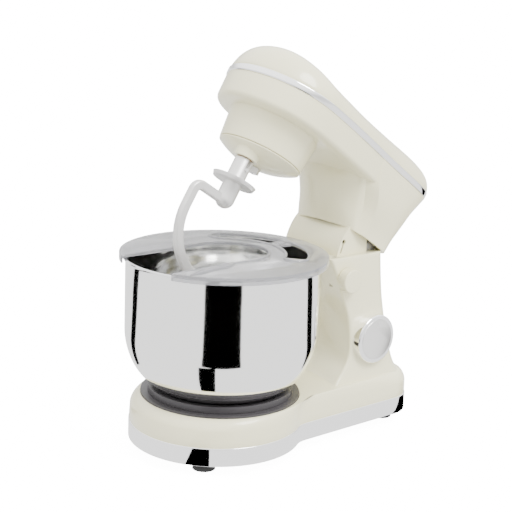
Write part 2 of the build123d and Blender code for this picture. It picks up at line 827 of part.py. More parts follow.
# ==== tool shaft body ====
tool_end = 168.0
cross_place = Plane(head * Location((tool_x, tool_y, cross_z), (0, 90, 0)))
with BuildPart() as tool_shaft:
    with BuildSketch(head.offset(tool_end)):
        with Locations((tool_x, tool_y)):
            Circle(tool_shaft_r)
    extrude(amount=gear_bottom + gear_height + 1 - tool_end)
    with BuildSketch(cross_place.offset(-hub_r)):
        Circle(pin_cross_r)
    extrude(amount=2 * hub_r, mode=Mode.SUBTRACT)
tool_shaft.part.label = "tool_shaft"
export_step(tool_shaft.part, "parts/tool_shaft.step")

cross_long = hub_r + 1.5
with BuildPart() as cross_pin:
    with BuildSketch(cross_place.offset(-cross_long)):
        Circle(pin_cross_r)
    extrude(amount=2 * cross_long)
cross_pin.part.label = "cross_pin"
export_step(cross_pin.part, "parts/cross_pin.step")

with BuildPart() as planet_pinion:
    with BuildSketch(head.offset(gear_bottom)):
        with Locations((tool_x, tool_y)):
            add(gear_outline(pinion_teeth, planet_module, 0.8, 1.1, 0.86, tool_angle))
            Circle(tool_shaft_r, mode=Mode.SUBTRACT)
    extrude(amount=gear_height)
planet_pinion.part.label = "planet_pinion"
export_step(planet_pinion.part, "parts/planet_pinion.step")

# ==== dough hook ====
upright_y = -arm_out
bend_r = 8.0
sweep_r = 57.4
belly_lean = 20.0  # degrees left to turn where the long curve meets the curl
curl_r = 22.0
upright_end = 129.0
hook_plane = Plane(head * Location((tool_x, tool_y, 0)))
hook_side = Plane(hook_plane.origin, x_dir=head.y_dir, z_dir=head.x_dir)
lean = radians(belly_lean)
curl_centre = (
    upright_y + sweep_r - (sweep_r - curl_r) * sin(lean),
    upright_end - (sweep_r - curl_r) * cos(lean),
)
with BuildPart() as hook_arm:
    with BuildLine(hook_side):
        path = [
            Line((0, arm_z), (upright_y + bend_r, arm_z)),
            CenterArc((upright_y + bend_r, arm_z - bend_r), bend_r, 90, 90),
            Line((upright_y, arm_z - bend_r), (upright_y, upright_end)),
            CenterArc((upright_y + sweep_r, upright_end), sweep_r, 180, 90 - belly_lean),
            CenterArc(curl_centre, curl_r, 270 - belly_lean, belly_lean + 50),
        ]
    with BuildSketch(Plane(head * Location((tool_x, tool_y, arm_z), (90, 0, 0)))):
        RectangleRounded(bar_wide, bar_high, 2.5)
    sweep()
hub_place = head.offset(hub_bottom)
with BuildPart() as dough_hook:
    add(hook_arm.part)
    with BuildSketch(hub_place):
        with Locations((tool_x, tool_y)):
            Circle(hub_r)
    extrude(amount=hub_top - hub_bottom)
    with Locations(head * Location((tool_x, tool_y, hub_bottom))):
        Sphere(hub_r)
    with BuildSketch(head.offset(collar_z - 3)):
        with Locations((tool_x, tool_y)):
            Circle(collar_r - 1.5)
    with BuildSketch(head.offset(collar_z + 1)):
        with Locations((tool_x, tool_y)):
            Circle(collar_r)
    loft()
    with BuildSketch(head.offset(tool_end - fit_gap)):
        with Locations((tool_x, tool_y)):
            Circle(tool_shaft_r + running_gap)
    extrude(amount=60, mode=Mode.SUBTRACT)
    # open slot for the cross pin, from the hub's top down
    with BuildSketch(hook_side):
        with Locations((0, cross_z)):
            Circle(pin_cross_r + 0.2)
        with Locations((0, cross_z + 15)):
            Rectangle(2 * pin_cross_r + 0.4, 30)
    extrude(amount=2 * hub_r, both=True, mode=Mode.SUBTRACT)
dough_hook.part.label = "dough_hook"
export_step(dough_hook.part, "parts/dough_hook.step")

# ==== layshaft body ====
with BuildPart() as lay_shaft:
    with BuildSketch(head.offset(belt_bottom + 2.5)):
        with Locations((0, lay_y)):
            Circle(lay_shaft_r)
    extrude(amount=pulley_z + pulley_height + 2 - belt_bottom - 2.5)
lay_shaft.part.label = "lay_shaft"
export_step(lay_shaft.part, "parts/lay_shaft.step")

with BuildPart() as lay_pinion:
    with BuildSketch(head.offset(main_gear_z - 1)):
        with Locations((0, lay_y)):
            add(gear_outline(lay_teeth, main_module, 0.8, 1.1, 0.88, -90 + 180 / lay_teeth))
            Circle(lay_shaft_r, mode=Mode.SUBTRACT)
    extrude(amount=main_gear_height + 2)
lay_pinion.part.label = "lay_pinion"
export_step(lay_pinion.part, "parts/lay_pinion.step")

with BuildPart() as lay_pulley:
    with BuildSketch(head.offset(pulley_z)):
        with Locations((0, lay_y)):
            Circle(lay_pulley_r)
            Circle(lay_shaft_r, mode=Mode.SUBTRACT)
            with PolarLocations(19, 5):
                Circle(7, mode=Mode.SUBTRACT)
    extrude(amount=pulley_height)
lay_pulley.part.label = "lay_pulley"
export_step(lay_pulley.part, "parts/lay_pulley.step")

# ==== motor ====
motor_shaft_r = 4.0
bracket_thick = small_bearing_thick
stator_top = stator_bottom + stator_height - bracket_thick
with BuildPart() as motor_stator:
    with BuildSketch(head.offset(stator_bottom)):
        with Locations((0, motor_y)):
            Circle(stator_r)
            Circle(18.6, mode=Mode.SUBTRACT)
    extrude(amount=stator_top - stator_bottom)
motor_stator.part.label = "motor_stator"
export_step(motor_stator.part, "parts/motor_stator.step")

with BuildPart() as motor_brackets:
    for height in (stator_bottom - bracket_thick, stator_top):
        with BuildSketch(head.offset(height)):
            with Locations((0, motor_y)):
                Circle(stator_r)
                Circle(small_bearing_outer, mode=Mode.SUBTRACT)
        extrude(amount=bracket_thick)
motor_brackets.part.label = "motor_brackets"
export_step(motor_brackets.part, "parts/motor_brackets.step")

with BuildPart() as motor_bearings:
    for height in (stator_bottom - bracket_thick, stator_top):
        bore_r = motor_shaft_r + running_gap
        add(tube(head.offset(height), small_bearing_outer, bore_r, bracket_thick, 0, motor_y))
motor_bearings.part.label = "motor_bearings"
export_step(motor_bearings.part, "parts/motor_bearings.step")

with BuildPart() as motor_shaft:
    with BuildSketch(head.offset(stator_bottom - bracket_thick + 0.5)):
        with Locations((0, motor_y)):
            Circle(motor_shaft_r)
    extrude(amount=pulley_z + pulley_height + 2 - stator_bottom + bracket_thick - 0.5)
motor_shaft.part.label = "motor_shaft"
export_step(motor_shaft.part, "parts/motor_shaft.step")

with BuildPart() as motor_rotor:
    rotor_long = stator_height - bracket_thick - 6
    add(tube(head.offset(stator_bottom + 3), 18.0, motor_shaft_r, rotor_long, 0, motor_y))
motor_rotor.part.label = "motor_rotor"
export_step(motor_rotor.part, "parts/motor_rotor.step")

with BuildPart() as motor_pulley:
    add(tube(head.offset(pulley_z), motor_pulley_r, motor_shaft_r, pulley_height, 0, motor_y))
motor_pulley.part.label = "motor_pulley"
export_step(motor_pulley.part, "parts/motor_pulley.step")

fan_z = stator_top + bracket_thick + 2
with BuildPart() as cooling_fan:
    with BuildSketch(head.offset(fan_z)):
        with Locations((0, motor_y)):
            Circle(10)
            with PolarLocations(0, 9):
                with Locations((18, 0)):
                    Rectangle(20, 2.2, rotation=20)
            Circle(motor_shaft_r, mode=Mode.SUBTRACT)
    extrude(amount=7)
cooling_fan.part.label = "cooling_fan"
export_step(cooling_fan.part, "parts/cooling_fan.step")

with BuildPart() as drive_belt:
    for extra, mode in ((running_gap + belt_thick, Mode.ADD), (running_gap, Mode.SUBTRACT)):
        with BuildSketch(head.offset(pulley_z + 1)) as belt_line:
            with Locations((0, lay_y)):
                Circle(lay_pulley_r + extra)
            with Locations((0, motor_y)):
                Circle(motor_pulley_r + extra)
            make_hull()
        extrude(amount=pulley_height - 2, mode=mode)
drive_belt.part.label = "drive_belt"
export_step(drive_belt.part, "parts/drive_belt.step")

# ==== bowl and splash guard ====
def bowl_profile(inset):
    """Half the bowl's section: a flat bottom, a round shoulder and a straight side."""
    bottom, side = bowl_bottom + inset, bowl_r - inset
    with BuildSketch(base_side) as profile:
        with BuildLine():
            Line((0, bottom), (58, bottom))
            Spline((58, bottom), (88, 84 + inset * 0.6), (side, 128), tangents=((1, 0), (0, 1)))
            Polyline((side, 128), (side, bowl_rim_z), (0, bowl_rim_z), (0, bottom))
        make_face()
    return profile.sketch


bowl_axis = Axis(base.origin, (0, 0, 1))
with BuildPart() as bowl:
    add(bowl_profile(0))
    revolve(axis=bowl_axis)
    with BuildSketch(base.offset(bowl_rim_z - bowl_wall)):
        Circle(bowl_r + rim_flange)
    extrude(amount=bowl_wall)
    add(bowl_profile(bowl_wall))
    revolve(axis=bowl_axis, mode=Mode.SUBTRACT)
bowl.part.label = "bowl"
export_step(bowl.part, "parts/bowl.step")

with BuildPart() as bowl_base_ring:
    with BuildSketch(base_side):
        with BuildLine():
            Polyline(
                (57, bowl_bottom), (57, ring_bottom), (60, ring_bottom), (60, seat_top - 5.5),
                (68, seat_top - 5.5), (68, ring_bottom), (ring_r, ring_bottom), (ring_r, ring_bottom + 6.5),
            )
            Polyline((ring_r, ring_bottom + 6.5), (ring_r - 0.5, ring_bottom + 6.7), (57, bowl_bottom))
        make_face()
    revolve(axis=bowl_axis)
    add(bowl_profile(0))
    revolve(axis=bowl_axis, mode=Mode.SUBTRACT)
    for angle in catch_angles:
        with BuildSketch(base.offset(seat_top - 5.5)):
            with BuildLine():
                CenterArc((0, 0), lug_outer, angle - 10, 20)
                CenterArc((0, 0), 66, angle - 10, 20)
                for end in (angle - 10, angle + 10):
                    turn = radians(end)
                    Line((66 * cos(turn), 66 * sin(turn)), (lug_outer * cos(turn), lug_outer * sin(turn)))
            make_face()
        extrude(amount=lug_height)
bowl_base_ring.part.label = "bowl_base_ring"
export_step(bowl_base_ring.part, "parts/bowl_base_ring.step")

fill_inner, fill_outer = 60.0, 92.0
fill_low, fill_high = 36.0, 84.0
with BuildPart() as splash_guard:
    with BuildSketch(base.offset(guard_z)):
        Circle(guard_r)
    extrude(amount=guard_thick)
    with BuildSketch(base.offset(guard_z - guard_skirt)):
        Circle(guard_r)
        Circle(guard_r - 1.8, mode=Mode.SUBTRACT)
    extrude(amount=guard_skirt)
    for side in (0, 1):
        with BuildSketch(base.offset(guard_z - 1)):
            start = fill_low if not side else 180 - fill_high
            span = fill_high - fill_low
            middle_r = (fill_inner + fill_outer) / 2
            with BuildLine():
                CenterArc((0, 0), middle_r, start, span)
            trace(line_width=fill_outer - fill_inner - 8)
        extrude(amount=guard_thick + 4, mode=Mode.SUBTRACT)
    with BuildSketch(base.offset(guard_z - guard_skirt - 1)):
        with Locations((0, slot_back)):
            Circle(slot_half)
        with Locations((0, slot_back - guard_r / 2 - 5)):
            Rectangle(2 * slot_half, guard_r + 10)
    extrude(amount=guard_skirt + guard_thick + 6, mode=Mode.SUBTRACT)
splash_guard.part.label = "splash_guard"
export_step(splash_guard.part, "parts/splash_guard.step")

head_screw_places = [(side * 38.0, along) for along in (-20.0, 60.0) for side in (-1, 1)]
with BuildPart() as plate_screws:
    with BuildSketch(head.offset(plate_z + plate_thick)):
        with Locations(*head_screw_places):
            Circle(screw_r + 2)
    extrude(amount=2.2)
plate_screws.part.label = "plate_screws"
export_step(plate_screws.part, "parts/plate_screws.step")
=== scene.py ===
"""The looks of a tilt-head stand mixer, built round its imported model.

Sizes named here are millimetres from the bowl's axis and the worktop, with the head down where a
piece rides on the head, and are turned into the frame's metres as each mesh is made.
"""
import json
from math import atan2, cos, degrees, hypot, pi, radians, sin, sqrt

import bmesh
import bpy
from bpy.props import FloatProperty, FloatVectorProperty, PointerProperty
from mathutils import Matrix, Vector


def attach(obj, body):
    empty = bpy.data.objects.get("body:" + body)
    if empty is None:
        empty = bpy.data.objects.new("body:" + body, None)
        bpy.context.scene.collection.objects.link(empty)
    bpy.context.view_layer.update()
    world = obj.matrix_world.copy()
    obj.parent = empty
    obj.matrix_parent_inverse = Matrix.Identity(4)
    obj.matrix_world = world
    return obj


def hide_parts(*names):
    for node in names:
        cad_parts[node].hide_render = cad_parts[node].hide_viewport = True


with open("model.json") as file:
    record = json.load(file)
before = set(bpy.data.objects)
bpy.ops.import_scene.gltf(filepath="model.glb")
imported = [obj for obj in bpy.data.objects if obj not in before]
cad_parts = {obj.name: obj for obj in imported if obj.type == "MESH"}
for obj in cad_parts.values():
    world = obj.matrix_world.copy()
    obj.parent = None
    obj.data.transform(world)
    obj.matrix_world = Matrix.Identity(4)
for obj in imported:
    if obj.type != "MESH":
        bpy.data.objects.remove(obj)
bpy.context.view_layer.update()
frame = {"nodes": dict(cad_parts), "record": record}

bl_info = {
    "name": "Stand Mixer Looks",
    "version": (1, 0, 0),
    "blender": (4, 5, 0),
    "location": "View3D > Sidebar > Mixer",
    "description": "Builds the visible pieces and finishes of a tilt-head stand mixer",
    "category": "Object",
}

MM = 0.001
JOINTS = {joint["name"]: joint for joint in frame["record"]["behaviour"]["joints"]}
HINGE = Vector(JOINTS["head_tilt"]["pos_m"])
TILT = radians(-JOINTS["head_tilt"]["range_deg"][0])
BOWL_AXIS = Vector((0, JOINTS["bowl_twist"]["pos_m"][1], 0))
HEAD_TURN = Matrix.Rotation(-TILT, 3, "X")


# ---- places ----
def on_base(point):
    """A point in millimetres from the bowl's axis, in the frame's metres."""
    return Vector(point) * MM + BOWL_AXIS


def on_head(point):
    """The same for a piece of the head: where the point stands when the head is up."""
    return HEAD_TURN @ (on_base(point) - HINGE) + HINGE


def blend_levels(levels, at):
    """A smooth value between (position, values...) rows, by a cubic through them."""
    last = len(levels) - 2
    span = 0
    while span < last and at > levels[span + 1][0]:
        span += 1
    one, two = levels[span], levels[span + 1]
    before, after = levels[max(span - 1, 0)], levels[min(span + 2, len(levels) - 1)]
    step = two[0] - one[0]
    t = min(max((at - one[0]) / step, 0), 1)
    values = []
    for k in range(1, len(one)):
        slope_one = (two[k] - before[k]) / (two[0] - before[0]) * step
        slope_two = (after[k] - one[k]) / (after[0] - one[0]) * step
        values.append(
            (2 * t**3 - 3 * t**2 + 1) * one[k]
            + (t**3 - 2 * t**2 + t) * slope_one
            + (3 * t**2 - 2 * t**3) * two[k]
            + (t**3 - t**2) * slope_two
        )
    return values


# ---- outlines, as right halves from the front middle to the back middle ----
def arc(centre, radius, start, end, count):
    """Points on an arc, angles in degrees."""
    points = []
    for step in range(count):
        angle = radians(start + (end - start) * step / (count - 1))
        points.append((centre[0] + radius * cos(angle), centre[1] + radius * sin(angle)))
    return points


def even(points, count):
    """The same line with its points spread evenly, both ends kept."""
    lengths = [0.0]
    for a, b in zip(points, points[1:]):
        lengths.append(lengths[-1] + hypot(b[0] - a[0], b[1] - a[1]))
    result = []
    span = 0
    for step in range(count):
        want = lengths[-1] * step / (count - 1)
        while span < len(points) - 2 and lengths[span + 1] < want:
            span += 1
        share = (want - lengths[span]) / max(lengths[span + 1] - lengths[span], 1e-9)
        a, b = points[span], points[span + 1]
        result.append((a[0] + (b[0] - a[0]) * share, a[1] + (b[1] - a[1]) * share))
    return result


def hermite(start, end, start_pull, end_pull, count):
    """A smooth curve between two points with given pulls at its ends."""
    points = []
    for step in range(count):
        t = step / (count - 1)
        weights = (2 * t**3 - 3 * t**2 + 1, 3 * t**2 - 2 * t**3, t**3 - 2 * t**2 + t, t**3 - t**2)
        points.append(
            tuple(
                weights[0] * start[k]
                + weights[1] * end[k]
                + weights[2] * start_pull[k]
                + weights[3] * end_pull[k]
                for k in (0, 1)
            )
        )
    return points


def whole(half):
    """A closed outline from its right half, with the left half mirrored."""
    return half + [(-x, y) for x, y in reversed(half[1:-1])]


def head_plan(inset=0.0):
    """The head's plan at the band: a round nose that narrows to a blunt tail."""
    nose, shoulder, tail, back = 70 - inset, 60 - inset, 52 - inset, 228 - inset
    half = arc((0, 2), nose, -90, 0, 30)
    half += hermite((nose, 2), (shoulder, 120), (0, 120), (-12, 100), 30)[1:]
    half += hermite((shoulder, 120), (tail, 198), (-7, 70), (-14, 60), 14)[1:]
    half += hermite((tail, 198), (0, back), (-10, 44), (-60, 0), 20)[1:]
    return half


def head_outline(inset=0.0):
    """The head's whole outline at the band, as evenly spread points."""
    return whole(even(head_plan(inset), 97))


def base_plan():
    """The base's plan: a round lobe, a waist, straight sides and round back corners."""
    lobe, waist, side, corner, back, lobe_y = 91.5, 30.0, 71.5, 36.0, 236.0, -6.0
    rise = sqrt((lobe + waist) ** 2 - (side + waist) ** 2)
    turn = degrees(atan2(rise, side + waist))
    front = arc((0, lobe_y), lobe, -90, turn, 80)
    front += arc((side + waist, lobe_y + rise), waist, 180 + turn, 180, 10)[1:]
    flank = [(side, lobe_y + rise), (side, back - corner)]
    rear_corner = arc((side - corner, back - corner), corner, 0, 90, 20)
    rear = [(side - corner, back), (0, back)]
    return even(front, 64) + even(flank, 30)[1:] + even(rear_corner, 14)[1:] + even(rear, 10)[1:]


def column_plan(front, back, half, hollow, corner=14.0, crease=3.0):
    """The column's plan: a front hollowed towards the bowl, a crisp crease and round back corners."""
    face = hermite((0, front + hollow), (half - crease, front), (half, 0), (half * 0.8, -hollow * 1.2), 40)
    face += arc((half - crease, front + crease), crease, -90, 0, 6)[1:]
    flank = hermite((half, front + crease), (half, back - corner), (1.5, 30), (-1.5, 30), 20)
    rear_corner = arc((half - corner, back - corner), corner, 0, 90, 20)
    rear = [(half - corner, back), (0, back)]
    return even(face, 64) + even(flank, 30)[1:] + even(rear_corner, 14)[1:] + even(rear, 10)[1:]


# ---- meshes ----
def new_object(name, mesh):
    """An object for a mesh, in the scene, at the origin."""
    piece = bpy.data.objects.new(name, mesh)
    bpy.context.scene.collection.objects.link(piece)
    return piece


def mesh_piece(name, points, faces, outward=True):
    """A smooth-shaded object from points and faces, with its normals turned outwards."""
    mesh = bpy.data.meshes.new(name)
    mesh.from_pydata([tuple(point) for point in points], [], faces)
    work = bmesh.new()
    work.from_mesh(mesh)
    bmesh.ops.remove_doubles(work, verts=work.verts, dist=1e-6)
    if outward:
        bmesh.ops.recalc_face_normals(work, faces=work.faces)
    work.to_mesh(mesh)
    work.free()
    mesh.shade_smooth()
    return new_object(name, mesh)


def skin(rings, start=False, end=False):
    """Faces that join equal rings of points; start and end close the first and last ring."""
    count = len(rings[0])
    faces = []
    for ring in range(len(rings) - 1):
        for k in range(count):
            a, b = ring * count + k, ring * count + (k + 1) % count
            faces.append((a, b, b + count, a + count))
    if start:
        faces.append(tuple(reversed(range(count))))
    if end:
        faces.append(tuple(range((len(rings) - 1) * count, len(rings) * count)))
    return [point for ring in rings for point in ring], faces


def lathe(name, profile, steps, place):
    """A turned piece: (radius, height) pairs round an upright axis; place maps them to the frame."""
    rings = []
    for step in range(steps):
        angle = 2 * pi * step / steps
        c, s = cos(angle), sin(angle)
        rings.append([place((r * c, r * s, h)) for r, h in profile])
    count = len(profile)
    points = [point for ring in rings for point in ring]
    faces = []
    for step in range(steps):
        here, ahead = step * count, (step + 1) % steps * count
        for k in range(count - 1):
            faces.append((here + k, ahead + k, ahead + k + 1, here + k + 1))
    return mesh_piece(name, points, faces)


def rounded(corners, radius, steps=5):
    """A line of (radius, height) corners with each inner corner rounded; radius may be one or a list."""
    line = [corners[0]]
    for k in range(1, len(corners) - 1):
        here, back, ahead = Vector(corners[k]), Vector(corners[k - 1]), Vector(corners[k + 1])
        size = radius[k - 1] if isinstance(radius, (list, tuple)) else radius
        one, two = (back - here), (ahead - here)
        cut = min(size, one.length * 0.49, two.length * 0.49)
        a, b = here + one.normalized() * cut, here + two.normalized() * cut
        for step in range(steps + 1):
            t = step / steps
            point = a * (1 - t) ** 2 + here * 2 * t * (1 - t) + b * t**2
            line.append((point.x, point.y))
    line.append(corners[-1])
    return line


def plain(piece):
    """The piece with its modifiers worked into a plain mesh."""
    depsgraph = bpy.context.evaluated_depsgraph_get()
    mesh = bpy.data.meshes.new_from_object(piece.evaluated_get(depsgraph))
    piece.modifiers.clear()
    old = piece.data
    piece.data = mesh
    bpy.data.meshes.remove(old)
    return piece


def merge(piece, others, mode="UNION"):
    """Other closed pieces joined to this one, or cut out of it, and then removed."""
    for other in others:
        cut = piece.modifiers.new("join", "BOOLEAN")
        cut.operation = mode
        cut.solver = "EXACT"
        cut.object = other
        plain(piece)
        bpy.data.objects.remove(other)
    return piece


def joined(name, pieces):
    """One object that holds the meshes of several."""
    work = bmesh.new()
    for piece in pieces:
        work.from_mesh(piece.data)
        bpy.data.objects.remove(piece)
    mesh = bpy.data.meshes.new(name)
    work.to_mesh(mesh)
    work.free()
    mesh.shade_smooth()
    return new_object(name, mesh)


def crisp(piece, angle=32):
    """Smooth shading with edges kept where the surface turns sharply."""
    piece.data.shade_smooth()
    piece.data.set_sharp_from_angle(angle=radians(angle))
    return piece


def eased(piece, width, segments=2, angle=35):
    """Sharp edges rounded a little, as a moulded or machined piece has them."""
    bevel = piece.modifiers.new("ease", "BEVEL")
    bevel.width = width * MM
    bevel.segments = segments
    bevel.limit_method = "ANGLE"
    bevel.angle_limit = radians(angle)
    bevel.use_clamp_overlap = True
    plain(piece)
    return crisp(piece)


def node_copy(node, ease=0.0):
    """A clean copy of a CAD node's mesh: merged, with smooth faces and eased edges."""
    work = bmesh.new()
    work.from_mesh(frame["nodes"][node].data)
    bmesh.ops.remove_doubles(work, verts=work.verts, dist=1e-6)
    bmesh.ops.dissolve_limit(work, angle_limit=radians(0.5), verts=work.verts, edges=work.edges)
    mesh = bpy.data.meshes.new(node + "_piece")
    work.to_mesh(mesh)
    work.free()
    piece = new_object(node + "_piece", mesh)
    if ease:
        return eased(piece, ease)
    return crisp(piece)


def settle(piece, body, slot, finish, *nodes):
    """Gives a piece its finish and its body, and hides the CAD nodes that it stands for; the slot is not
    used.
    """
    piece.data.materials.clear()
    piece.data.materials.append(finish)
    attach(piece, body)
    if nodes:
        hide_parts(*nodes)
    return piece


# ---- finishes ----
def fine_texture():
    """A node group: a soft grain and faint wear, as a colour, a roughness and a normal."""
    group = bpy.data.node_groups.new("Fine Texture", "ShaderNodeTree")
    face = group.interface
    for name, kind, value in (
        ("Colour", "NodeSocketColor", (0.8, 0.8, 0.8, 1)),
        ("Tint Spread", "NodeSocketFloat", 0.03),
        ("Roughness", "NodeSocketFloat", 0.3),
        ("Roughness Spread", "NodeSocketFloat", 0.05),
        ("Patch Scale", "NodeSocketFloat", 18.0),
        ("Grain Scale", "NodeSocketFloat", 1400.0),
        ("Grain Height", "NodeSocketFloat", 0.02),
    ):
        socket = face.new_socket(name, in_out="INPUT", socket_type=kind)
        socket.default_value = value
    for name, kind in (
        ("Colour", "NodeSocketColor"),
        ("Roughness", "NodeSocketFloat"),
        ("Normal", "NodeSocketVector"),
    ):
        face.new_socket(name, in_out="OUTPUT", socket_type=kind)
    add, link = group.nodes.new, group.links.new
    given, result = add("NodeGroupInput"), add("NodeGroupOutput")
    place = add("ShaderNodeTexCoord")
    patch, grain = add("ShaderNodeTexNoise"), add("ShaderNodeTexNoise")
    patch.inputs["Detail"].default_value = 4
    grain.inputs["Detail"].default_value = 3
    for noise, scale in ((patch, "Patch Scale"), (grain, "Grain Scale")):
        link(place.outputs["Object"], noise.inputs["Vector"])
        link(given.outputs[scale], noise.inputs["Scale"])
    centred = add("ShaderNodeMath")
    centred.operation = "SUBTRACT"
    centred.inputs[1].default_value = 0.5
    link(patch.outputs["Fac"], centred.inputs[0])
    lightness, rough = add("ShaderNodeMath"), add("ShaderNodeMath")
    for node, spread, base in ((lightness, "Tint Spread", None), (rough, "Roughness Spread", "Roughness")):
        node.operation = "MULTIPLY_ADD"
        link(centred.outputs[0], node.inputs[0])
        link(given.outputs[spread], node.inputs[1])
        if base:
            link(given.outputs[base], node.inputs[2])
        else:
            node.inputs[2].default_value = 1.0
    shade = add("ShaderNodeHueSaturation")
    link(lightness.outputs[0], shade.inputs["Value"])
    link(given.outputs["Colour"], shade.inputs["Color"])
    bump = add("ShaderNodeBump")
    bump.inputs["Distance"].default_value = 0.0002
    link(given.outputs["Grain Height"], bump.inputs["Strength"])
    link(grain.outputs["Fac"], bump.inputs["Height"])
    link(shade.outputs["Color"], result.inputs["Colour"])
    link(rough.outputs[0], result.inputs["Roughness"])
    link(bump.outputs["Normal"], result.inputs["Normal"])
    return group


def finish_of(name, colour, roughness, metallic=0.0, texture=None, **sockets):
    """A Principled material whose colour, roughness and normal come through the fine texture."""
    material = bpy.data.materials.new(name)
    material.use_nodes = True
    nodes, links = material.node_tree.nodes, material.node_tree.links
    shader = nodes["Principled BSDF"]
    shader.inputs["Metallic"].default_value = metallic
    for socket, value in sockets.items():
        shader.inputs[socket.replace("_", " ")].default_value = value
    group = nodes.new("ShaderNodeGroup")
    group.node_tree = bpy.data.node_groups.get("Fine Texture") or fine_texture()
    group.inputs["Colour"].default_value = (*colour, 1)
    group.inputs["Roughness"].default_value = roughness
    for socket, value in (texture or {}).items():
        group.inputs[socket].default_value = value
    links.new(group.outputs["Colour"], shader.inputs["Base Color"])
    links.new(group.outputs["Roughness"], shader.inputs["Roughness"])
    links.new(group.outputs["Normal"], shader.inputs["Normal"])
    return material


def finishes(settings):
    """Every finish of the mixer, by its slot in the record."""
    soft = {"Tint Spread": 0.02, "Roughness Spread": 0.06, "Grain Height": 0.015}
    bright = {"Tint Spread": 0.03, "Roughness Spread": 0.02, "Grain Height": 0.0}
    worked = {"Tint Spread": 0.1, "Roughness Spread": 0.1, "Grain Scale": 900.0, "Grain Height": 0.12}
    moulded = {"Tint Spread": 0.08, "Roughness Spread": 0.12, "Grain Scale": 2200.0, "Grain Height": 0.2}
    return {
        "cream_gloss": finish_of(
            "Cream Gloss", settings.cream, 0.3, texture=soft, Coat_Weight=0.6, Coat_Roughness=0.06, IOR=1.5
        ),
        "chrome_trim": finish_of("Chrome Trim", (0.97, 0.97, 0.97), 0.06, 1.0, bright),
        "satin_metal": finish_of("Satin Metal", (0.88, 0.87, 0.85), 0.3, 1.0, worked),
        "bowl_steel": finish_of("Bowl Steel", settings.steel, 0.075, 1.0, bright),
        "clear_grey": finish_of(
            "Clear Grey", (0.6, 0.6, 0.62), 0.12, texture=bright, Transmission_Weight=0.7, IOR=1.35
        ),
        "dark_grey_plastic": finish_of("Dark Grey Plastic", (0.045, 0.042, 0.045), 0.4, texture=moulded),
        "black_rubber": finish_of("Black Rubber", (0.02, 0.02, 0.02), 0.7, texture=moulded),
        "hook_metal": finish_of("Hook Metal", (0.72, 0.71, 0.69), 0.38, 0.55, worked),
        "cast_alloy": finish_of("Cast Alloy", (0.48, 0.48, 0.47), 0.5, 1.0, worked),
        "shaft_steel": finish_of("Shaft Steel", (0.62, 0.61, 0.6), 0.26, 1.0, worked),
        "gear_plastic": finish_of("Gear Plastic", (0.78, 0.76, 0.7), 0.45, texture=moulded),
        "bronze_bush": finish_of("Bronze Bush", (0.55, 0.36, 0.16), 0.38, 1.0, worked),
        "board_green": finish_of("Board Green", (0.02, 0.16, 0.07), 0.42, texture=moulded),
        "winding_steel": finish_of("Winding Steel", (0.3, 0.29, 0.28), 0.42, 0.9, worked),
    }


class MixerSettings(bpy.types.PropertyGroup):
    """Sizes and colours of the mixer's visible pieces."""

    cream: FloatVectorProperty(
        name="Cream",
        description="Colour of the moulded shells",
        subtype="COLOR",
        size=3,
        default=(0.84, 0.8, 0.54),
    )
    steel: FloatVectorProperty(
        name="Bowl steel",
        description="Colour of the polished bowl",
        subtype="COLOR",
        size=3,
        default=(0.95, 0.95, 0.94),
    )
    rib: FloatProperty(
        name="Guard rib",
        description="Height of the rib beside the guard's slot",
        default=4 * MM,
        unit="LENGTH",
    )


class StageSettings(bpy.types.PropertyGroup):
    """Light and backdrop."""

    key: FloatProperty(name="Key light", description="Power of the main light", default=55.0, unit="POWER")
    floor: FloatVectorProperty(
        name="Floor", description="Colour of the floor", subtype="COLOR", size=3, default=(0.93, 0.93, 0.93)
    )
    glow: FloatProperty(name="Floor glow", description="How far the floor is whitened", default=14.0, min=0)
    backdrop: FloatProperty(name="Backdrop", description="Brightness of the surroundings", default=3.0, min=0)


def use_settings(context):
    """The mixer's settings and its finishes, made once."""
    settings = context.scene.mixer_settings
    made = bpy.data.materials.get("Cream Gloss")
    if not made:
        for slot, material in finishes(settings).items():
            material["slot"] = slot
    return settings, {material["slot"]: material for material in bpy.data.materials if material.get("slot")}


class MIXER_OT_frame_finishes(bpy.types.Operator):
    """Puts each slot's finish on the CAD nodes that name it"""

    bl_idname = "mixer.frame_finishes"
    bl_label = "Frame finishes"

    def execute(self, context):
        _, finish = use_settings(context)
        for entry in frame["record"]["subparts"]:
            part = frame["nodes"][entry["node"]]
            part.data.materials.clear()
            part.data.materials.append(finish[entry["material_slot"]])
        return {"FINISHED"}


# ---- the head's shells ----
BAND_TOP = 287
PLAN_BACK = 228
SKIRT_LOW, SKIRT_HIGH = 201, 279.2


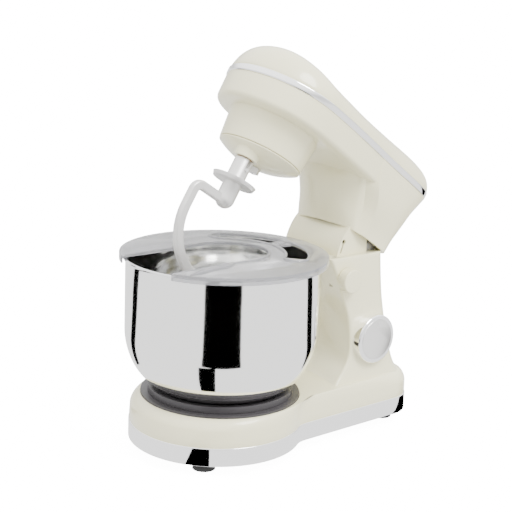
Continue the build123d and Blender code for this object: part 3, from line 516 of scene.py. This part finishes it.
def crown_piece():
    """The head's crown: rings that rise from the band and close in on one point of the ridge."""
    middle_y, steps = 80, 60
    # height, share of the plan's size
    levels = [
        (286.6, 0.995), (287.4, 1.0), (296.0, 0.988), (305.0, 0.962), (314.0, 0.915), (321.0, 0.85),
        (327.0, 0.765), (331.0, 0.66), (333.6, 0.52), (334.9, 0.34), (335.4, 0.16),
    ]
    # distance back, share of the dome's full height: high over the bowl, low towards the tail
    ridge = [
        (-72, 1.08), (-45, 0.98), (-20, 0.76), (5, 0.55), (35, 0.48), (70, 0.46),
        (110, 0.49), (150, 0.52), (190, 0.55), (PLAN_BACK, 0.575),
    ]
    low, high = levels[0][0], levels[-1][0]
    plan = head_outline()

    def crown_point(x, y, share, height):
        u, v = x * share, middle_y + (y - middle_y) * share
        return on_head((u, v, BAND_TOP + (height - BAND_TOP) * blend_levels(ridge, v)[0]))

    rings = []
    for step in range(steps):
        t = step / (steps - 1)
        at = low + (high - low) * (1 - (1 - t) ** 2.2)
        share = blend_levels(levels, at)[0]
        rings.append([crown_point(x, y, share, at) for x, y in plan])
    points, faces = skin(rings, start=True)
    middle = len(points)
    points.append(crown_point(0, middle_y, 0.0, 335.5))
    last = (len(rings) - 1) * len(plan)
    faces += [(last + k, last + (k + 1) % len(plan), middle) for k in range(len(plan))]
    return mesh_piece("crown", points, faces)


def band_piece():
    """The bright band between the crown and the lower shell, as a plate with a rounded rim."""
    low, proud, sunk = 279.8, -1.1, 2.0
    profile = rounded([(sunk, low), (proud, low), (proud, BAND_TOP), (sunk, BAND_TOP)], 1.6, 4)
    rings = [[on_head((x, y, z)) for x, y in head_outline(inset)] for inset, z in profile]
    return mesh_piece("band", *skin(rings, start=True, end=True))


def tail_back(z):
    """How far back the lower shell reaches at a height: it slopes in under the band."""
    levels = [(201, 195.0), (222, 200.0), (252, 212.5), (266, 220.0), (280.2, 228.0)]
    return blend_levels(levels, z)[0]


def belt_piece():
    """The lower shell's belt under the band, with its back pulled in to the tail's slope."""
    slope_y = 120

    def pulled(y, z):
        if y < slope_y:
            return y
        return slope_y + (y - slope_y) * (tail_back(z) - slope_y) / (PLAN_BACK - slope_y)

    corners = [(1.0, 280.2), (0.0, 279.4), (0.6, 253.0), (12.0, 251.5), (16.0, 251.5)]
    profile = rounded(corners, [0.5, 5.0, 4.0], 8)
    rings = [[on_head((x, pulled(y, z), z)) for x, y in head_outline(inset)] for inset, z in profile]
    return mesh_piece("belt", *skin(rings, start=True, end=True))


def housing_piece():
    """The round housing of the planetary drive, over the bowl."""
    low, high, radius = 217.6, 262, 50.5
    wall = rounded([(40, low), (46.5, 217.8), (radius, 258)], 1.0)
    return lathe("housing", [(0, low)] + wall + [(radius, high), (0, high)], 128, on_head)


def skirt_half(at):
    """The crease and the right half of the skirt at a height: a narrow round front, then the tail."""
    # height, front, crease, half width of the recessed front part
    levels = [
        (201.0, 117.0, 138.0, 46.0), (213.0, 107.0, 134.0, 46.5), (226.0, 98.0, 130.0, 48.0),
        (238.0, 91.0, 122.0, 50.0), (252.0, 85.0, 111.0, 53.0), (279.2, 76.0, 100.0, 57.0),
    ]
    tail_y, tail_half, flare, overlap, step_back, step_out = 100, 51.5, 51, 0.3, 6, 5
    front, crease, narrow = blend_levels(levels, at)
    nose_back = crease - step_back
    nose = []
    for degree in range(0, 91, 3):
        turn = radians(degree)
        nose.append((narrow * sin(turn), nose_back - (nose_back - front) * cos(turn)))
    # the tail's sides are flat at the bottom and reach the head's plan where the flare ends
    t = min((at - SKIRT_LOW) / flare, 1)
    wide = t * t * (3 - 2 * t)
    reach = PLAN_BACK - tail_y
    tail_plan = [(x, y) for x, y in head_plan() if y >= tail_y]
    tail = []
    for x, y in tail_plan:
        flat = tail_half * (max(x, 0) / tail_plan[0][0]) ** 0.35
        side = flat * (1 - wide) + (x + overlap) * wide if x > 0.01 else 0
        back = crease + step_out + (y - tail_y) / reach * (tail_back(at) - crease - step_out)
        tail.append((side, back + overlap * wide * (y - tail_y) / reach))
    return crease, even(nose, 50) + even(tail, 60)


def skirt_piece(name, inset, low, high, count):
    """The skirt between two heights, or with an inset the pocket inside it."""
    rings = []
    for step in range(count):
        z = low + (high - low) * step / (count - 1)
        at = min(max(z, SKIRT_LOW), SKIRT_HIGH)
        crease, half = skirt_half(at)
        inner = []
        for x, y in half:
            shift = inset if y < crease else -inset * (y - crease) / (tail_back(at) - crease)
            inner.append((max(x - inset, 0) if x > 0.01 else 0, y + shift))
        rings.append([on_head((x, y, z)) for x, y in whole(inner)])
    return mesh_piece(name, *skin(rings, start=True, end=True))


class MIXER_OT_head_shells(bpy.types.Operator):
    """Builds the head's crown, its bright band and the lower shell with housing and skirt"""

    bl_idname = "mixer.head_shells"
    bl_label = "Head shells"

    def execute(self, context):
        _, finish = use_settings(context)
        cream, chrome = finish["cream_gloss"], finish["chrome_trim"]
        settle(crisp(crown_piece()), "head", "cream_gloss", cream, "head_top_shell")
        settle(crisp(band_piece()), "head", "chrome_trim", chrome, "head_band")
        belt = belt_piece()
        housing = housing_piece()
        skirt = skirt_piece("skirt", 0, SKIRT_LOW, SKIRT_HIGH, 28)
        pocket = skirt_piece("pocket", 3, 195, 248, 8)
        lower = merge(belt, [housing, skirt])
        merge(lower, [pocket], "DIFFERENCE")
        lower.name = "lower_shell"
        settle(eased(lower, 1.2, 3, 28), "head", "cream_gloss", cream, "head_lower_shell")
        return {"FINISHED"}


# ---- the base's shell ----
TRIM_LOW, TRIM_TOP = 10.2, 29.8
FOOT_Z, COLUMN_TOP = 58.0, 198.0


def column_ring(z, inset=0.0):
    """The column's right half at a height."""
    # height, front crease, back, half width, hollow of the front
    levels = [
        (58.0, 112.0, 218.0, 62.0, 12.0), (66.0, 120.0, 213.5, 60.2, 12.0),
        (76.0, 130.0, 209.5, 58.8, 12.0), (88.0, 136.5, 206.5, 57.4, 12.0),
        (110.0, 138.0, 201.0, 55.3, 12.0), (129.0, 135.5, 197.5, 53.9, 12.0),
        (150.0, 128.0, 194.2, 52.6, 9.0), (175.0, 118.0, 191.8, 51.6, 5.0),
        (198.0, 107.0, 190.0, 51.0, 2.0),
    ]
    front, back, half, hollow = blend_levels(levels, z)
    return column_plan(front + inset, back - inset, half - inset, hollow)


def lobe_rings():
    """Rings from the trim up over the base's round edge and in to the foot of the column."""
    foot, plan = column_ring(FOOT_Z), base_plan()
    edge_r, steps = 16.0, 40
    rings = [[(x, y, TRIM_TOP) for x, y in plan], [(x, y, 36.0) for x, y in plan]]
    for step in range(1, steps + 1):
        t = step / steps
        ring = []
        for (x, y), (u, v) in zip(plan, foot):
            far = max(hypot(u - x, v - y), 1e-6)
            if far <= 2 * edge_r:
                went = far * t
            elif t < 0.5:
                went = edge_r * (2 * t)
            else:
                went = edge_r + (far - edge_r) * (2 * t - 1)
            share = went / far
            rise = FOOT_Z - edge_r + edge_r * sqrt(max(1 - (1 - min(went / edge_r, 1)) ** 2, 0))
            ring.append((x + (u - x) * share, y + (v - y) * share, rise))
        rings.append(ring)
    return rings


def base_piece():
    """The base as one closed shell, lobe and column together, before the seat is cut."""
    rings = lobe_rings()
    foot_heights = [point[2] for point in rings[-1]]
    last_z, steps = 197.0, 39
    for step in range(1, steps + 1):
        z = FOOT_Z + (last_z - FOOT_Z) * step / steps
        rings.append([(x, y, max(z, low)) for (x, y), low in zip(column_ring(z), foot_heights)])
    for inset, z in ((0.3, 197.6), (1.0, COLUMN_TOP), (4.0, COLUMN_TOP)):
        rings.append([(x, y, z) for x, y in column_ring(COLUMN_TOP, inset)])
    full = []
    for ring in rings:
        mirrored = [(-x, y, z) for x, y, z in reversed(ring[1:-1])]
        full.append([on_base(point) for point in ring + mirrored])
    return mesh_piece("base", *skin(full, start=True, end=True))


def seat_piece():
    """The round hollow that the bowl's foot stands in."""
    floor, radius, above = 50.0, 85.5, 70
    wall = rounded([(80, floor), (83.5, floor), (radius, 59.0)], 2.0)
    return lathe("seat", [(0, floor)] + wall + [(radius, above), (0, above)], 160, on_base)


def trim_piece():
    """The bright trim round the bottom of the base."""
    proud, sunk = -0.8, 1.0
    corners = [(sunk, TRIM_LOW), (proud, TRIM_LOW), (proud, TRIM_TOP), (sunk, TRIM_TOP)]
    plan = base_plan()
    rings = []
    for inset, z in rounded(corners, 1.0, 3):
        half = []
        for k, (x, y) in enumerate(plan):
            a, b = plan[max(k - 1, 0)], plan[min(k + 1, len(plan) - 1)]
            across = Vector((b[1] - a[1], a[0] - b[0])).normalized()
            if k in (0, len(plan) - 1):
                across = Vector((0, -1 if k == 0 else 1))
            half.append((x - across.x * inset, y - across.y * inset))
        rings.append([on_base((x, y, z)) for x, y in whole(half)])
    return mesh_piece("trim", *skin(rings, start=True, end=True))


class MIXER_OT_base_shell(bpy.types.Operator):
    """Builds the base's lobe and column as one smooth shell, with the bowl's seat sunk into it"""

    bl_idname = "mixer.base_shell"
    bl_label = "Base shell"

    def execute(self, context):
        _, finish = use_settings(context)
        shell = merge(base_piece(), [seat_piece()], "DIFFERENCE")
        settle(eased(shell, 0.8, 2, 40), "base", "cream_gloss", finish["cream_gloss"], "base_shell")
        settle(crisp(trim_piece(), 50), "base", "chrome_trim", finish["chrome_trim"], "base_trim")
        return {"FINISHED"}


class MIXER_OT_bowl(bpy.types.Operator):
    """Turns the steel bowl with its rolled rim"""

    bl_idname = "mixer.bowl"
    bl_label = "Bowl"

    def execute(self, context):
        _, finish = use_settings(context)
        floor, foot_r, wall_r, inside_r = 64.5, 58, 102.5, 101.5
        cheek = hermite((foot_r, floor), (88, 84), (34, 0), (24, 30), 14)[1:]
        cheek += hermite((88, 84), (wall_r, 128), (24, 30), (0, 50), 16)[1:]
        outer = [(0, floor), (30, floor), (foot_r, floor)] + cheek
        outer += [(wall_r, 150), (wall_r, 178), (wall_r, 201.5)]
        rim = [(103.2, 203.6), (104.8, 204.6), (106.0, 205.2), (106.0, 206.2), (105.0, 206.5)]
        rim += [(103.0, 206.5), (101.8, 205.6)]
        inner = [(inside_r, 203.5), (inside_r, 178), (inside_r, 128.3)]
        inner += [(r - 0.9, z + 0.8) for r, z in reversed(cheek)]
        inner += [(30, floor + 1), (0, floor + 1)]
        bowl = lathe("bowl_wall", outer + rim + inner, 160, on_base)
        settle(crisp(bowl, 60), "bowl", "bowl_steel", finish["bowl_steel"], "bowl")
        return {"FINISHED"}


class MIXER_OT_splash_guard(bpy.types.Operator):
    """Builds the clear splash guard with the lips round its openings and the rib by its slot"""

    bl_idname = "mixer.splash_guard"
    bl_label = "Splash guard"

    def execute(self, context):
        settings, finish = use_settings(context)
        plate = node_copy("splash_guard", 0.7)
        top = 209.8

        def bead(name, line, radius, closed=True):
            """A round bead, half sunk in the guard's top along a line."""
            path = [on_base((x, y, top)) for x, y in line]
            count = len(path)
            rings = []
            for k, point in enumerate(path):
                if closed:
                    ahead = path[(k + 1) % count] - path[k - 1]
                else:
                    ahead = path[min(k + 1, count - 1)] - path[max(k - 1, 0)]
                across = ahead.normalized().cross(Vector((0, 0, 1)))
                thin = min(1, 0.2 + 4 * k / count, 0.2 + 4 * (count - 1 - k) / count)
                size = radius * (1 if closed else thin)
                rings.append([
                    point + (across * cos(radians(a)) + Vector((0, 0, 1)) * sin(radians(a))) * size
                    for a in range(0, 360, 30)
                ])
            if closed:
                rings.append(rings[0])
            return mesh_piece(name, *skin(rings, start=not closed, end=not closed))

        beads = []
        lip = settings.rib * 0.4
        inner, outer, end_r = 64, 88, 12
        middle_r = (inner + outer) / 2
        for first, last in ((36, 84), (96, 144)):
            line = arc((0, 0), outer, first, last, 24)
            middle = (middle_r * cos(radians(last)), middle_r * sin(radians(last)))
            line += arc(middle, end_r, last, last + 180, 10)[1:-1]
            line += arc((0, 0), inner, last, first, 20)
            middle = (middle_r * cos(radians(first)), middle_r * sin(radians(first)))
            line += arc(middle, end_r, first + 180, first + 360, 10)[1:-1]
            beads.append(bead("fill_lip", line, lip))
        slot_half, slot_front = 43.2, -98
        slot = [(slot_half, slot_front)] + arc((0, 5), slot_half, 0, 180, 40) + [(-slot_half, slot_front)]
        beads.append(bead("slot_lip", even(slot, 90), lip, closed=False))
        beads.append(bead("rib", even([(59, -90), (52, -60), (47, -25)], 24), settings.rib, closed=False))
        plate = joined("guard_plate", [plate, *beads])
        settle(plate, "guard", "clear_grey", finish["clear_grey"], "splash_guard")
        return {"FINISHED"}


class MIXER_OT_drive_and_hook(bpy.types.Operator):
    """Smooths the dough hook and the dome of the planetary drive"""

    bl_idname = "mixer.drive_and_hook"
    bl_label = "Drive and hook"

    def execute(self, context):
        _, finish = use_settings(context)
        for node, body, slot in (
            ("dough_hook", "hook", "hook_metal"),
            ("planet_carrier", "planet", "cream_gloss"),
        ):
            settle(node_copy(node, 0.6), body, slot, finish[slot], node)
        return {"FINISHED"}


class MIXER_OT_knobs(bpy.types.Operator):
    """Smooths the speed dial, its face and the release knob"""

    bl_idname = "mixer.knobs"
    bl_label = "Knobs"

    def execute(self, context):
        _, finish = use_settings(context)
        for node, body, slot in (
            ("speed_knob", "speed_control", "chrome_trim"),
            ("knob_face", "speed_control", "satin_metal"),
            ("release_knob", "release_control", "cream_gloss"),
        ):
            settle(node_copy(node, 0.4), body, slot, finish[slot], node)
        return {"FINISHED"}


class MIXER_OT_stage(bpy.types.Operator):
    """Lays the floor, sets the light and places the camera"""

    bl_idname = "mixer.stage"
    bl_label = "Stage"

    def execute(self, context):
        light = context.scene.stage_settings
        world = bpy.data.worlds.new("Studio")
        context.scene.world = world
        world.use_nodes = True
        nodes, links = world.node_tree.nodes, world.node_tree.links
        place = nodes.new("ShaderNodeTexCoord")
        split = nodes.new("ShaderNodeSeparateXYZ")
        ramp = nodes.new("ShaderNodeValToRGB")
        links.new(place.outputs["Generated"], split.inputs["Vector"])
        links.new(split.outputs["Z"], ramp.inputs["Fac"])
        links.new(ramp.outputs["Color"], nodes["Background"].inputs["Color"])
        # grey below, a darker room at eye height, a bright ceiling
        lowest, highest = ramp.color_ramp.elements
        lowest.position, lowest.color = 0.0, (0.62, 0.62, 0.62, 1)
        highest.position, highest.color = 0.75, (1, 1, 1, 1)
        for position, grey in ((0.04, 0.5), (0.22, 0.42), (0.4, 0.85)):
            ramp.color_ramp.elements.new(position).color = (grey, grey, grey, 1)
        nodes["Background"].inputs["Strength"].default_value = light.backdrop

        bpy.ops.mesh.primitive_plane_add(size=80)
        floor = context.object
        floor.name = "floor"
        floor.data.transform(Matrix.Translation((0, 0, -0.0005)))
        floor_finish = finish_of("Floor", light.floor, 0.9, texture={"Tint Spread": 0.0, "Grain Height": 0.0})
        glow = floor_finish.node_tree.nodes["Principled BSDF"]
        glow.inputs["Emission Color"].default_value = (1, 1, 1, 1)
        glow.inputs["Emission Strength"].default_value = light.glow
        floor.data.materials.append(floor_finish)
        floor.visible_diffuse = False
        floor.visible_glossy = False
        floor.visible_transmission = False

        card_finish = bpy.data.materials.new("Card")
        card_finish.use_nodes = True
        shader = card_finish.node_tree.nodes["Principled BSDF"]
        shader.inputs["Base Color"].default_value = (0, 0, 0, 1)
        shader.inputs["Specular IOR Level"].default_value = 0
        camera_bearing, card_lift = -41.73, 0.002
        # dark cards lie on the floor round the bowl: first and last angle from the camera's side
        for name, first, last, near, far in (
            ("front_card", -17, 22, 0.26, 4.0),
            ("left_card", -119, -107, 0.2, 4.0),
            ("right_card", 110, 122, 0.2, 4.0),
            ("trim_card", -20, -3, 0.1, 0.25),
        ):
            corners = []
            for reach, ends in ((near, (first, last)), (far, (last, first))):
                for angle in ends:
                    turn = radians(angle + camera_bearing)
                    corner = Vector((cos(turn), sin(turn), 0)) * reach + BOWL_AXIS
                    corners.append(corner + Vector((0, 0, card_lift)))
            card = mesh_piece(name, corners, [(0, 1, 2, 3)], outward=False)
            card.data.materials.append(card_finish)
            card.visible_camera = False
            card.visible_diffuse = False
            card.visible_shadow = False

        def lamp(name, place, target, size, power):
            data = bpy.data.lights.new(name, "AREA")
            data.shape = "DISK"
            data.size = size
            data.energy = power
            item = bpy.data.objects.new(name, data)
            context.scene.collection.objects.link(item)
            item.location = place
            item.rotation_euler = (Vector(target) - Vector(place)).to_track_quat("-Z", "Y").to_euler()

        lamp("key", (1.4, 0.2, 1.8), (0, 0, 0.2), 1.0, light.key)

        toward = Vector((0.72204, -0.64407, 0.25266)).normalized()
        right_bearing = radians(90 + camera_bearing)
        right = Vector((cos(right_bearing), sin(right_bearing), 0))
        up = toward.cross(right)
        roll = radians(2.3987)
        side, top = right * cos(roll) + up * sin(roll), up * cos(roll) - right * sin(roll)
        data = bpy.data.cameras.new("camera")
        data.lens, data.sensor_width = 88.0, 36.0
        data.shift_x, data.shift_y = -0.0202, 0.0509
        camera = bpy.data.objects.new("camera", data)
        context.scene.collection.objects.link(camera)
        turned = Matrix((side, top, toward)).transposed().to_4x4()
        camera.matrix_world = Matrix.Translation(Vector((0.9738, -0.80865, 0.5098)) + BOWL_AXIS) @ turned
        context.scene.camera = camera
        return {"FINISHED"}


OPERATORS = (
    MIXER_OT_frame_finishes, MIXER_OT_head_shells, MIXER_OT_base_shell, MIXER_OT_bowl,
    MIXER_OT_splash_guard, MIXER_OT_drive_and_hook, MIXER_OT_knobs, MIXER_OT_stage,
)


class MIXER_PT_panel(bpy.types.Panel):
    """Lists the mixer's settings and its operators"""

    bl_idname = "MIXER_PT_panel"
    bl_label = "Mixer"
    bl_space_type = "VIEW_3D"
    bl_region_type = "UI"
    bl_category = "Mixer"

    def draw(self, context):
        for group in (context.scene.mixer_settings, context.scene.stage_settings):
            for name in group.__annotations__:
                self.layout.prop(group, name)
        for operator in OPERATORS:
            self.layout.operator(operator.bl_idname)


CLASSES = (MixerSettings, StageSettings, *OPERATORS, MIXER_PT_panel)


def register():
    """Adds the classes and the scene's settings."""
    for item in CLASSES:
        bpy.utils.register_class(item)
    bpy.types.Scene.mixer_settings = PointerProperty(type=MixerSettings)
    bpy.types.Scene.stage_settings = PointerProperty(type=StageSettings)


def unregister():
    """Takes them away again."""
    del bpy.types.Scene.stage_settings
    del bpy.types.Scene.mixer_settings
    for item in reversed(CLASSES):
        bpy.utils.unregister_class(item)


def main():
    """Builds the mixer's looks in order."""
    register()
    for operator in OPERATORS:
        group, name = operator.bl_idname.split(".")
        getattr(getattr(bpy.ops, group), name)()


if __name__ == "__main__":
    main()
